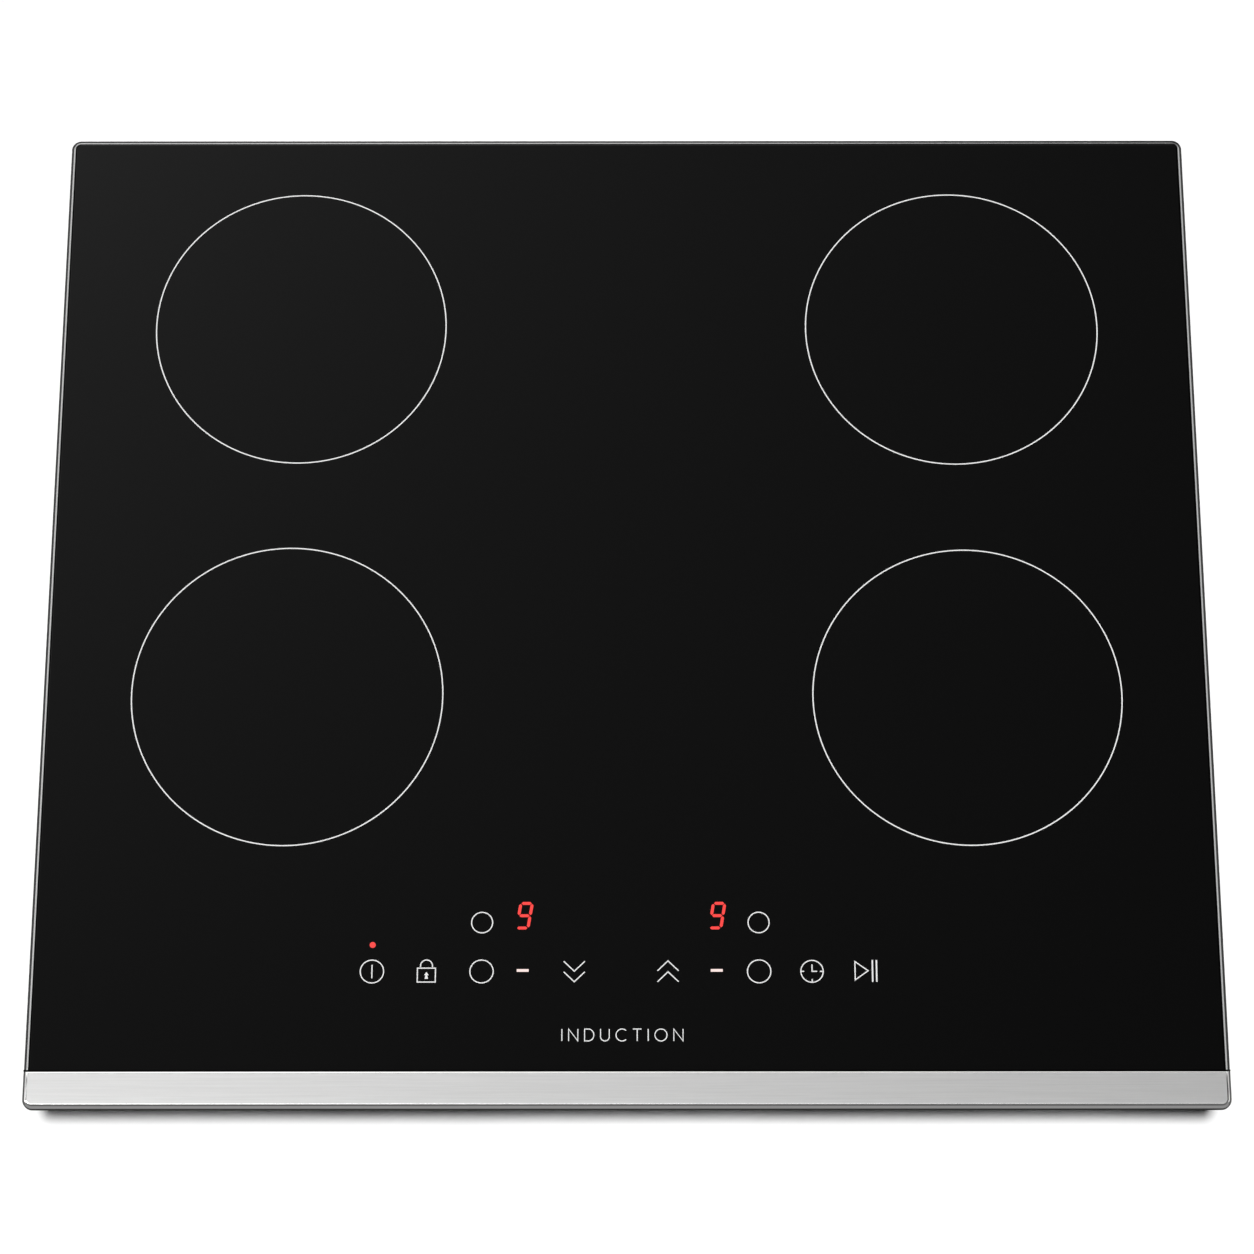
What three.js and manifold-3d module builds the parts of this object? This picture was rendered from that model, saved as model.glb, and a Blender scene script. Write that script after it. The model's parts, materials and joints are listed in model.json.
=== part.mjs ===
// A built-in induction hob with four zones, as an assembly of separate pieces.
// Millimetres. +X is right, +Y is towards the back, +Z is up. The origin is the middle of the
// footprint, at the underside of the base pan.
import * as THREE from "three";
import { mergeVertices } from "three/addons/utils/BufferGeometryUtils.js";
import Module from "manifold-3d";

const wasm = await Module();
wasm.setup();

// ---------------------------------------------------------------- driving dimensions

const WIDTH = 590;
const DEPTH = 520;
const HEIGHT = 62;
const GAP = 0.3; // clearance between pieces that touch in the real hob
const SHEET = 1; // sheet steel of the pan and the frame

const GLASS = { thickness: 4, belowTrim: 0.3, insideTrim: 0.2, cornerRadius: 5, facet: 1.1, edgeLand: 0.7 };
const TRIM = { depth: 18.7, cornerRadius: 5, noseRadius: 2.7, endRadius: 1.8, sheet: 1 };
const JOINT = 0.5; // dark joint between the glass and the trim
const PAN = { width: 530, depth: 470, cornerRadius: 4 };
const SEAL = { fromEdge: 3, width: 10, thickness: 2 };
const FRAME = { flange: 12, leg: 10 };

// Zone centres, and the radius of the winding under each.
const ZONES = {
  back_left: { x: -170, y: 152.5, coilRadius: 70 },
  back_right: { x: 170, y: 152.5, coilRadius: 70 },
  front_left: { x: -172, y: -49, coilRadius: 72 },
  front_right: { x: 172, y: -49, coilRadius: 72 },
};
const SIDES = { left: -1, right: 1 };

// Levels, from the top down.
const GLASS_TOP = HEIGHT - GLASS.belowTrim;
const GLASS_BOTTOM = GLASS_TOP - GLASS.thickness;
const FLANGE_TOP = GLASS_BOTTOM - GAP;
const FLANGE_BOTTOM = FLANGE_TOP - SHEET;
const PAN_TOP = FLANGE_BOTTOM - GAP;
const MICA = { thickness: 0.8, halfWidth: 78, front: -126, back: 228, sensorClearance: 2 };
const COIL = { thickness: 3.7, innerRadius: 20 };
const FORMER = { thickness: 2, rim: 3 };
const FERRITE = { thickness: 4, barWidth: 11, innerRadius: 19 };
const MICA_BOTTOM = FLANGE_TOP - MICA.thickness;
const COIL_TOP = MICA_BOTTOM - GAP;
const COIL_BOTTOM = COIL_TOP - COIL.thickness;
const FORMER_TOP = COIL_BOTTOM - GAP;
const FORMER_BOTTOM = FORMER_TOP - FORMER.thickness;
const FERRITE_TOP = FORMER_BOTTOM - GAP;
const FERRITE_BOTTOM = FERRITE_TOP - FERRITE.thickness;
const PLATE = { inner: 86, outer: 258, front: -126, back: 230, thickness: 1.5, legWidth: 30 };
const PLATE_LEGS = [-100, 52, 204]; // places of the legs, from front to back
const PLATE_TOP = FERRITE_BOTTOM - GAP;
const FLOOR = SHEET + GAP; // what stands on the pan's floor starts here

const TRAY = { halfWidth: 254, halfDepth: 125, thickness: 2, standoff: 4, postRadius: 3.5 };
const BOARD = { thickness: 1.6, cornerRadius: 2, soldered: 0.5 };
const BOARD_BOTTOM = FLOOR + TRAY.thickness + TRAY.standoff + GAP;
const BOARD_TOP = BOARD_BOTTOM + BOARD.thickness;

// Each side of the hob has a bay with one inverter board and one fan, and a mica sheet above.
const BAY_X = 171;
const INVERTER = { halfWidth: 75, halfDepth: 115, innerRow: -55, outerRow: 56 };
const SINK = { fins: 9, width: 58, finWidth: 2, base: 5, top: 36, front: -85, back: 80 };
const FILTER = { halfWidth: 70, front: 10, back: 120 };
const FAN = { x: BAY_X, y: 176, size: 80, height: 20, bore: 38, hub: 15, blades: 7, bladeRadius: 36.5 };
const SENSOR = { capRadius: 7, capHeight: 2.8, stemRadius: 4, collarRadius: 5.6, collarHeight: 1.2 };
const TERMINAL = { halfWidth: 52, bottom: 5, top: 42, cableX: -30, cableRadius: 7, cableZ: 11 };
const BLOCK = {
  halfWidth: 42,
  front: 196,
  back: 220,
  top: 16,
  towerFront: 202,
  towerBack: 214,
  towerTop: 26,
};
const POLES = { count: 6, pitch: 13, screwRadius: 3.2, entryHalf: 3 };
const HINGE = { behindWall: 3.5, z: 49.5, barrelRadius: 2.5, pinRadius: 1 };
const CLAMP = { y: 150, fromWall: 7.5, shank: 2.5, reach: 20, width: 10, bottom: 4, top: 54, sheet: 1.5 };
const BRACKET = { wingY: -8, plateY: 12, lugX: 5.5 };
const PAN_SCREW = { x: 180, z: 51, shank: 1.8, head: 4, length: 8 };
const CONTROL = { halfWidth: 140, front: -206, back: -154, board: 48, wall: 1.6, clearance: 1, tray: 4 };
const DISPLAY = { halfWidth: 7, front: -200, back: -157 };
const WINDOW = { places: [-192, -164.3], halfWidth: 5, halfDepth: 7 };

// ---------------------------------------------------------------- materials

function material(color, roughness, metalness) {
  return new THREE.MeshStandardMaterial({ color, roughness, metalness });
}

const glassCeramic = material(0x0b0b0d, 0.06, 0);
const stainless = material(0xc4c5c6, 0.32, 1);
const galvanised = material(0xa9adb0, 0.45, 1);
const zincScrew = material(0xb9bcc0, 0.3, 1);
const aluminium = material(0xbfc2c5, 0.4, 1);
const copper = material(0xa9592c, 0.5, 0.7);
const blackPlastic = material(0x17181a, 0.55, 0);
const whitePlastic = material(0xd8d6cf, 0.5, 0);
const foam = material(0x26272a, 0.9, 0);
const ferrite = material(0x3b3d42, 0.6, 0.1);
const mica = material(0xb8ad94, 0.6, 0);
const ceramic = material(0xe7e4dc, 0.5, 0);
const circuitBoard = material(0x1f6a3b, 0.5, 0);
const ribbonGrey = material(0x9a9c9e, 0.6, 0);

// ---------------------------------------------------------------- geometry helpers

const ROUND = 16; // sides of a small round piece
const WIDE_ROUND = 32; // sides of a large round piece

function box(x0, x1, y0, y1, z0, z1) {
  const geometry = new THREE.BoxGeometry(x1 - x0, y1 - y0, z1 - z0);
  return geometry.translate((x0 + x1) / 2, (y0 + y1) / 2, (z0 + z1) / 2);
}

function cylinder(radius, z0, z1, x = 0, y = 0, sides = ROUND) {
  const geometry = new THREE.CylinderGeometry(radius, radius, z1 - z0, sides);
  return geometry.rotateX(Math.PI / 2).translate(x, y, (z0 + z1) / 2);
}

function cylinderAlongX(radius, x0, x1, y, z, sides = ROUND) {
  return cylinder(radius, x0, x1, 0, 0, sides).rotateY(Math.PI / 2).translate(0, y, z);
}

function cylinderAlongY(radius, y0, y1, x, z, sides = ROUND) {
  return cylinder(radius, -y1, -y0, 0, 0, sides).rotateX(Math.PI / 2).translate(x, 0, z);
}

// A solid of revolution about Z, from [radius, z] pairs that run anticlockwise in the r-z plane.
function turned(profile, sides = ROUND) {
  const points = profile.map(([radius, z]) => new THREE.Vector2(radius, z));
  return new THREE.LatheGeometry(points, sides).rotateX(Math.PI / 2);
}

function ring(innerRadius, outerRadius, z0, z1, sides = ROUND) {
  const profile = [
    [innerRadius, z0],
    [outerRadius, z0],
    [outerRadius, z1],
    [innerRadius, z1],
    [innerRadius, z0],
  ];
  return turned(profile, sides);
}

function extruded(shape, z0, z1) {
  const settings = { depth: z1 - z0, bevelEnabled: false, curveSegments: 4 };
  return new THREE.ExtrudeGeometry(shape, settings).translate(0, 0, z0);
}

// A rectangle from (x0, y0) to (x1, y1), with its own radius at the front and the back corners.
function rectangle(x0, x1, y0, y1, frontRadius = 0, backRadius = frontRadius) {
  const shape = new THREE.Shape();
  const quarter = Math.PI / 2;
  const corners = [
    { x: x1, y: y0, radius: frontRadius, inX: -1, inY: 1, start: -quarter },
    { x: x1, y: y1, radius: backRadius, inX: -1, inY: -1, start: 0 },
    { x: x0, y: y1, radius: backRadius, inX: 1, inY: -1, start: quarter },
    { x: x0, y: y0, radius: frontRadius, inX: 1, inY: 1, start: 2 * quarter },
  ];
  shape.moveTo((x0 + x1) / 2, y0);
  for (const { x, y, radius, inX, inY, start } of corners) {
    const centreX = x + inX * radius;
    const centreY = y + inY * radius;
    shape.lineTo(centreX + radius * Math.cos(start), centreY + radius * Math.sin(start));
    if (radius > 0) {
      shape.absarc(centreX, centreY, radius, start, start + quarter, false);
    }
  }
  shape.closePath();
  return shape;
}

function slab(x0, x1, y0, y1, z0, z1, frontRadius = 0, backRadius = frontRadius) {
  return extruded(rectangle(x0, x1, y0, y1, frontRadius, backRadius), z0, z1);
}

// A body whose outline changes from level to level: each level is a list of points of equal
// length, and neighbouring levels are joined by a band. Every outline is convex.
function lofted(levels) {
  const count = levels[0].outline.length;
  const positions = [];
  const indices = [];
  for (const { outline, z } of levels) {
    for (const point of outline) {
      positions.push(point.x, point.y, z);
    }
  }
  for (let level = 0; level < levels.length - 1; level += 1) {
    for (let i = 0; i < count; i += 1) {
      const a = level * count + i;
      const b = level * count + ((i + 1) % count);
      indices.push(a, b, b + count, a, b + count, a + count);
    }
  }
  const last = (levels.length - 1) * count;
  for (let i = 1; i < count - 1; i += 1) {
    indices.push(0, i + 1, i);
    indices.push(last, last + i, last + i + 1);
  }
  const geometry = new THREE.BufferGeometry();
  geometry.setAttribute("position", new THREE.Float32BufferAttribute(positions, 3));
  geometry.setIndex(indices);
  return geometry;
}

function solid(geometry) {
  const bare = geometry.clone();
  bare.deleteAttribute("normal");
  bare.deleteAttribute("uv");
  const merged = mergeVertices(bare, 1e-4);
  const vertProperties = new Float32Array(merged.getAttribute("position").array);
  const triVerts = new Uint32Array(merged.getIndex().array);
  return new wasm.Manifold(new wasm.Mesh({ numProp: 3, vertProperties, triVerts }));
}

function geometryOf(body) {
  const mesh = body.getMesh();
  const geometry = new THREE.BufferGeometry();
  geometry.setAttribute("position", new THREE.BufferAttribute(mesh.vertProperties, mesh.numProp));
  geometry.setIndex(new THREE.BufferAttribute(mesh.triVerts, 1));
  return geometry;
}

function joined(...geometries) {
  return geometryOf(geometries.map(solid).reduce((sum, next) => sum.add(next)));
}

function cut(geometry, ...tools) {
  return geometryOf(tools.map(solid).reduce((rest, tool) => rest.subtract(tool), solid(geometry)));
}

const hob = new THREE.Group();

function add(name, geometry, surface) {
  const flat = geometry.index ? geometry.toNonIndexed() : geometry;
  flat.computeVertexNormals();
  const mesh = new THREE.Mesh(flat, surface);
  mesh.name = name;
  hob.add(mesh);
  return mesh;
}

// ---------------------------------------------------------------- glass, trim and seal

// The seam is where the glass ends and the trim begins.
const SEAM = -DEPTH / 2 + TRIM.depth;

function addGlass() {
  const halfWidth = WIDTH / 2 - GLASS.insideTrim;
  const front = SEAM + JOINT;
  const back = DEPTH / 2;
  const arris = 0.4; // small chamfer under the plate
  const level = (inset, z) => {
    const shape = rectangle(
      -halfWidth + inset,
      halfWidth - inset,
      front,
      back - inset,
      0,
      GLASS.cornerRadius - inset,
    );
    return { outline: shape.extractPoints(8).shape.slice(0, -1), z };
  };
  const levels = [
    level(arris, GLASS_BOTTOM),
    level(0, GLASS_BOTTOM + arris),
    level(0, GLASS_TOP - GLASS.facet - GLASS.edgeLand),
    level(GLASS.facet, GLASS_TOP - GLASS.edgeLand / 2),
    level(GLASS.facet + GLASS.edgeLand, GLASS_TOP),
  ];
  add("glass_ceramic_plate", lofted(levels), glassCeramic);
}

// The trim is a folded strip: a flat top, a round nose, and a skirt on three sides. Its ends are
// folded more tightly than its nose.
function addTrim() {
  const front = -DEPTH / 2;
  const level = (inset, z, sideInset = inset) => {
    const shape = rectangle(
      -WIDTH / 2 + sideInset,
      WIDTH / 2 - sideInset,
      front + inset,
      SEAM,
      TRIM.cornerRadius - Math.min(inset, TRIM.cornerRadius - 1),
      0,
    );
    return { outline: shape.extractPoints(8).shape.slice(0, -1), z };
  };
  const levels = [level(0, GLASS_BOTTOM)];
  const steps = 5;
  for (let step = 0; step <= steps; step += 1) {
    const angle = (step / steps) * (Math.PI / 2);
    const inset = TRIM.noseRadius * (1 - Math.cos(angle));
    const endInset = TRIM.endRadius * (1 - Math.cos(angle));
    levels.push(level(inset, HEIGHT - TRIM.noseRadius * (1 - Math.sin(angle)), endInset));
  }
  const insideHalfWidth = WIDTH / 2 - TRIM.sheet - TRIM.endRadius / 2;
  const insideFront = front + TRIM.sheet + TRIM.noseRadius / 2;
  const inside = box(
    -insideHalfWidth,
    insideHalfWidth,
    insideFront,
    SEAM + 1,
    GLASS_BOTTOM - 1,
    HEIGHT - TRIM.sheet,
  );
  add("front_trim", cut(lofted(levels), inside), stainless);

  const halfWidth = insideHalfWidth - GAP;
  const bar = box(-halfWidth, halfWidth, insideFront + GAP, SEAM, GLASS_BOTTOM, HEIGHT - TRIM.sheet - GAP);
  const lipHalfWidth = PAN.width / 2;
  const lip = box(-lipHalfWidth, lipHalfWidth, SEAM - 4, SEAM + 5, FLANGE_BOTTOM, FLANGE_TOP);
  const web = box(-lipHalfWidth, lipHalfWidth, SEAM - 4, SEAM, FLANGE_TOP - 0.5, GLASS_BOTTOM + 0.5);
  add("trim_carrier", joined(bar, lip, web), blackPlastic);
}

function addSeal() {
  const outerX = WIDTH / 2 - SEAL.fromEdge;
  const outerY = DEPTH / 2 - SEAL.fromEdge;
  const outer = slab(-outerX, outerX, -outerY, outerY, FLANGE_TOP - SEAL.thickness, FLANGE_TOP, 6);
  const innerX = outerX - SEAL.width;
  const innerY = outerY - SEAL.width;
  const inner = slab(-innerX, innerX, -innerY, innerY, FLANGE_TOP - SEAL.thickness - 1, FLANGE_TOP + 1, 2);
  add("perimeter_seal", cut(outer, inner), foam);
}

// ---------------------------------------------------------------- frame and pan

function panScrewPlaces() {
  const places = {};
  for (const [side, sign] of Object.entries(SIDES)) {
    places["front_" + side] = { x: sign * PAN_SCREW.x, out: -1 };
    places["back_" + side] = { x: sign * PAN_SCREW.x, out: 1 };
  }
  return places;
}

function screwHole({ x, out }, radius) {
  const middle = out * (PAN.depth / 2);
  return cylinderAlongY(radius, middle - 6, middle + 6, x, PAN_SCREW.z, 12);
}

// Steel angle bonded to the glass. Its legs stand inside the pan's walls. The flange turns out on
// three sides and in at the front, where the trim's carrier needs the room.
function addFrame() {
  const legX = PAN.width / 2 - SHEET - GAP;
  const legY = PAN.depth / 2 - SHEET - GAP;
  const legBottom = FLANGE_TOP - FRAME.leg;
  const walls = cut(
    slab(-legX, legX, -legY, legY, legBottom, FLANGE_TOP, 3),
    slab(-legX + SHEET, legX - SHEET, -legY + SHEET, legY - SHEET, legBottom - 1, FLANGE_TOP + 1, 2),
  );
  const flangeX = legX + FRAME.flange;
  const flangeBack = legY + FRAME.flange - 2;
  const flange = cut(
    slab(-flangeX, flangeX, -legY, flangeBack, FLANGE_BOTTOM, FLANGE_TOP, 2),
    box(
      -legX + SHEET,
      legX - SHEET,
      -legY + FRAME.flange,
      legY - SHEET,
      FLANGE_BOTTOM - 1,
      FLANGE_TOP + 1,
    ),
  );
  const holes = Object.values(panScrewPlaces()).map((place) => screwHole(place, PAN_SCREW.shank + GAP));
  add("mounting_frame", cut(joined(walls, flange), ...holes), galvanised);
}

function repeated(count, pitch, make) {
  return Array.from({ length: count }, (_, i) => make((i - (count - 1) / 2) * pitch));
}

function panOpenings() {
  const openings = [];
  const wall = PAN.depth / 2;
  for (const sign of Object.values(SIDES)) {
    // Air inlet under each fan, and air outlets in the front and back walls.
    const centre = sign * FAN.x;
    openings.push(
      ...repeated(8, 9, (offset) => {
        const reach = Math.sqrt(FAN.bore ** 2 - offset ** 2) - 3;
        const x = centre + offset;
        return box(x - 2.2, x + 2.2, FAN.y - reach, FAN.y + reach, -1, SHEET + 1);
      }),
      ...repeated(12, 9, (offset) => {
        const x = sign * 120 + offset;
        return box(x - 2.2, x + 2.2, -wall - 1, -wall + SHEET + 1, 12, 38);
      }),
      ...repeated(6, 9, (offset) => {
        const x = sign * 225 + offset;
        return box(x - 2.2, x + 2.2, wall - SHEET - 1, wall + 1, 12, 38);
      }),
    );
  }
  openings.push(
    box(
      -TERMINAL.halfWidth,
      TERMINAL.halfWidth,
      wall - SHEET - 1,
      wall + 1,
      TERMINAL.bottom,
      TERMINAL.top,
    ),
  );
  return openings;
}

function addPan() {
  const x = PAN.width / 2;
  const y = PAN.depth / 2;
  const shell = cut(
    slab(-x, x, -y, y, 0, PAN_TOP, PAN.cornerRadius),
    slab(-x + SHEET, x - SHEET, -y + SHEET, y - SHEET, SHEET, PAN_TOP + 1, PAN.cornerRadius - SHEET),
  );
  const holes = Object.values(panScrewPlaces()).map((place) => screwHole(place, PAN_SCREW.shank + GAP));
  const perforated = cut(shell, ...panOpenings(), ...holes);

  // Two ears bent out of the back wall hold the terminal cover's pins.
  const pinY = y + HINGE.behindWall;
  const ears = Object.values(SIDES).map((sign) => {
    const inner = sign * (TERMINAL.halfWidth + 6);
    const outer = inner + sign * SHEET;
    const ear = box(
      Math.min(inner, outer),
      Math.max(inner, outer),
      y - SHEET / 2,
      pinY + 2.5,
      HINGE.z - 2.5,
      HINGE.z + 2.5,
    );
    return cut(ear, cylinderAlongX(HINGE.pinRadius + GAP, inner - 3, inner + 3, pinY, HINGE.z, 12));
  });
  add("base_pan", joined(perforated, ...ears), galvanised);
}

function addPanScrews() {
  for (const [name, { x, out }] of Object.entries(panScrewPlaces())) {
    const headTop = 2.4;
    const recess = 1.2;
    const profile = [
      [0, -PAN_SCREW.length],
      [PAN_SCREW.shank, -PAN_SCREW.length],
      [PAN_SCREW.shank, GAP],
      [PAN_SCREW.head, GAP],
      [PAN_SCREW.head, headTop * 0.5],
      [PAN_SCREW.head * 0.7, headTop],
      [0, headTop],
    ];
    const blades = [
      box(-2.2, 2.2, -0.45, 0.45, headTop - recess, headTop + 1),
      box(-0.45, 0.45, -2.2, 2.2, headTop - recess, headTop + 1),
    ];
    const screw = cut(turned(profile, 12), ...blades);
    const mesh = add("pan_screw_" + name, screw, zincScrew);
    mesh.rotation.x = (-out * Math.PI) / 2;
    mesh.position.set(x, (out * PAN.depth) / 2, PAN_SCREW.z);
  }
}

// ---------------------------------------------------------------- coils

function addCoilPlate(side, sign) {
  const halfLeg = PLATE.legWidth / 2;
  const top = slab(
    PLATE.inner,
    PLATE.outer,
    PLATE.front,
    PLATE.back,
    PLATE_TOP - PLATE.thickness,
    PLATE_TOP,
    4,
  );
  const legs = PLATE_LEGS.flatMap((y) => [
    box(PLATE.inner, PLATE.inner + PLATE.thickness, y - halfLeg, y + halfLeg, FLOOR, PLATE_TOP),
    box(PLATE.outer - PLATE.thickness, PLATE.outer, y - halfLeg, y + halfLeg, FLOOR, PLATE_TOP),
  ]);
  const holes = [];
  for (const name of ["back_right", "front_right"]) {
    const { x, y } = ZONES[name];
    holes.push(cylinder(14, PLATE_TOP - 3, PLATE_TOP + 1, x, y, 20));
    holes.push(box(x - 12, x + 12, y - 66, y - 60, PLATE_TOP - 3, PLATE_TOP + 1));
  }
  const plate = cut(joined(top, ...legs), ...holes);
  if (sign < 0) {
    plate.rotateZ(Math.PI).translate(0, PLATE.front + PLATE.back, 0);
  }
  add("coil_plate_" + side, plate, aluminium);
}

function addCoil(name, { x, y, coilRadius }) {
  const winding = ring(COIL.innerRadius, coilRadius, COIL_BOTTOM, COIL_TOP, WIDE_ROUND);
  add("coil_" + name, winding.translate(x, y, 0), copper);

  // The carrier is a dish round the winding, with a guide for the sensor on a cross in its middle,
  // and four feet that stand on the plate between the ferrite bars.
  const hole = COIL.innerRadius - 3;
  const rimTop = COIL_TOP - 1;
  const dish = turned(
    [
      [hole, FORMER_BOTTOM],
      [coilRadius + FORMER.rim, FORMER_BOTTOM],
      [coilRadius + FORMER.rim, rimTop],
      [coilRadius + GAP, rimTop],
      [coilRadius + GAP, FORMER_TOP],
      [hole, FORMER_TOP],
      [hole, FORMER_BOTTOM],
    ],
    WIDE_ROUND,
  );
  const cross = [
    box(-hole - 1, hole + 1, -1.5, 1.5, FORMER_BOTTOM, FORMER_TOP),
    box(-1.5, 1.5, -hole - 1, hole + 1, FORMER_BOTTOM, FORMER_TOP),
  ];
  const guideBottom = FERRITE_BOTTOM + 1;
  const guide = cylinder(6.5, guideBottom, COIL_BOTTOM - 0.5, 0, 0, 12);
  const guideBore = cylinder(SENSOR.stemRadius + GAP, guideBottom - 1, COIL_BOTTOM, 0, 0, 12);
  const feet = [0, 1, 2, 3].map((i) => {
    const foot = box(coilRadius - 11, coilRadius - 5, -2, 2, FERRITE_BOTTOM, FORMER_TOP - 0.5);
    return foot.rotateZ((i * Math.PI) / 2 + Math.PI / 8);
  });
  const former = cut(joined(dish, guide, ...cross, ...feet), guideBore).translate(x, y, 0);
  add("coil_former_" + name, former, whitePlastic);

  const bars = [0, 1, 2, 3].map((i) => {
    const length = coilRadius - 4;
    const half = FERRITE.barWidth / 2;
    return box(-length, length, -half, half, FERRITE_BOTTOM, FERRITE_TOP).rotateZ((i * Math.PI) / 4);
  });
  const star = cut(
    joined(ring(FERRITE.innerRadius - 2, FERRITE.innerRadius + 5, FERRITE_BOTTOM, FERRITE_TOP), ...bars),
    cylinder(FERRITE.innerRadius, FERRITE_BOTTOM - 1, FERRITE_TOP + 1),
  );
  add("ferrite_star_" + name, star.translate(x, y, 0), ferrite);
}

function addMica(side, sign) {
  const middle = sign * BAY_X;
  const { halfWidth, front, back, sensorClearance } = MICA;
  const sheet = slab(middle - halfWidth, middle + halfWidth, front, back, MICA_BOTTOM, FLANGE_TOP);
  const holes = ["back_", "front_"].map((row) => {
    const { x, y } = ZONES[row + side];
    return cylinder(SENSOR.capRadius + sensorClearance, MICA_BOTTOM - 1, FLANGE_TOP + 1, x, y, 12);
  });
  add("mica_sheet_" + side, cut(sheet, ...holes), mica);
}

// The sensor's cap touches the glass. Its stem slides in the carrier's guide, and the collar under
// the guide keeps it in.
function addSensor(name, { x, y }) {
  const capBottom = FLANGE_TOP - SENSOR.capHeight;
  const collarTop = FERRITE_BOTTOM + 1 - GAP;
  const collarBottom = collarTop - SENSOR.collarHeight;
  const chamfer = 0.6;
  const profile = [
    [0, collarBottom],
    [SENSOR.collarRadius, collarBottom],
    [SENSOR.collarRadius, collarTop],
    [SENSOR.stemRadius, collarTop],
    [SENSOR.stemRadius, capBottom],
    [SENSOR.capRadius, capBottom],
    [SENSOR.capRadius, FLANGE_TOP - chamfer],
    [SENSOR.capRadius - chamfer, FLANGE_TOP],
    [0, FLANGE_TOP],
  ];
  add("sensor_" + name, turned(profile, 12).translate(x, y, 0), ceramic);
}

// ---------------------------------------------------------------- electronics

function addTray() {
  const { halfWidth, halfDepth, thickness, standoff, postRadius } = TRAY;
  const base = slab(-halfWidth, halfWidth, -halfDepth, halfDepth, FLOOR, FLOOR + thickness, 6);

  // The coil plates' inner legs pass through slots, and their outer legs pass outside the tray.
  const slot = (x, y, half) => {
    const reach = PLATE.legWidth / 2 + 2;
    return box(x - half, x + half, y - reach, y + reach, FLOOR - 1, FLOOR + thickness + 1);
  };
  const slots = PLATE_LEGS.flatMap((y) =>
    Object.values(SIDES).flatMap((sign) => [
      slot(sign * (PLATE.inner + PLATE.thickness / 2), y, 3),
      slot(sign * PLATE.outer, y, 6),
    ]),
  );

  // Posts under the corners of the boards.
  const post = (x, y) => cylinder(postRadius, FLOOR + 1, FLOOR + thickness + standoff, x, y, 6);
  const posts = [];
  for (const sign of Object.values(SIDES)) {
    for (const x of [102, 240]) {
      posts.push(post(sign * x, -108), post(sign * x, 108));
    }
    posts.push(post(sign * 62, 18), post(sign * 62, 112));
  }
  add("electronics_tray", joined(cut(base, ...slots), ...posts), whitePlastic);
}

// Components are sunk a little into their board, as soldered.
function boxComponent(x, y, width, depth, top) {
  const low = BOARD_TOP - BOARD.soldered;
  return box(x - width / 2, x + width / 2, y - depth / 2, y + depth / 2, low, top);
}

function roundComponent(x, y, radius, top, sides = ROUND) {
  return cylinder(radius, BOARD_TOP - BOARD.soldered, top, x, y, sides);
}

// One power stage for two coils: a board with capacitors and chokes, and its heat sink.
function addInverter(side, sign) {
  const middle = sign * BAY_X;
  const { halfWidth, halfDepth } = INVERTER;
  const inner = middle + INVERTER.innerRow;
  const outer = middle + INVERTER.outerRow;
  const board = slab(
    middle - halfWidth,
    middle + halfWidth,
    -halfDepth,
    halfDepth,
    BOARD_BOTTOM,
    BOARD_TOP,
    BOARD.cornerRadius,
  );
  const components = [
    ...[-80, -40].map((y) => boxComponent(inner, y, 26, 30, 30)), // resonance capacitors
    ...[10, 48].map((y) => roundComponent(inner, y, 15, 24)), // chokes
    ...[12, 42].map((y) => roundComponent(outer, y, 11, 34)), // electrolytic capacitors
    boxComponent(outer, -70, 20, 40, 26), // relay
    boxComponent(outer, -26, 20, 20, 18), // transformer
    boxComponent(middle, 104, 40, 12, 18), // plug
  ];
  add("inverter_board_" + side, joined(board, ...components), circuitBoard);
  addHeatSink(side, middle);
}

function addHeatSink(side, middle) {
  const { fins, width, finWidth, top } = SINK;
  const pitch = (width - finWidth) / (fins - 1);
  const low = BOARD_TOP + GAP;
  const root = low + SINK.base;
  const comb = new THREE.Shape();
  comb.moveTo(-width / 2, low);
  comb.lineTo(width / 2, low);
  for (let i = fins - 1; i >= 0; i -= 1) {
    const x = -width / 2 + i * pitch;
    comb.lineTo(x + finWidth, top);
    comb.lineTo(x, top);
    if (i > 0) {
      comb.lineTo(x, root);
      comb.lineTo(x - pitch + finWidth, root);
    }
  }
  comb.closePath();
  // The comb is drawn in the x-z plane and pulled along Y.
  const sink = extruded(comb, -SINK.back, -SINK.front).rotateX(Math.PI / 2);
  add("heat_sink_" + side, sink.translate(middle, 0, 0), aluminium);
}

function addFilterBoard() {
  const { halfWidth, front, back } = FILTER;
  const low = BOARD_TOP - BOARD.soldered;
  const board = slab(-halfWidth, halfWidth, front, back, BOARD_BOTTOM, BOARD_TOP, BOARD.cornerRadius);
  const components = [
    ring(8, 20, low, 24).translate(-38, 60, 0), // ring choke
    ...[45, 85].map((y) => boxComponent(2, y, 20, 30, 26)), // interference capacitors
    ...[46, 76].map((y) => boxComponent(45, y, 34, 20, 20)), // relays
    roundComponent(44, 102, 5, 16, 12), // surge arrester
  ];
  add("filter_board", joined(board, ...components), circuitBoard);
}

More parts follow.
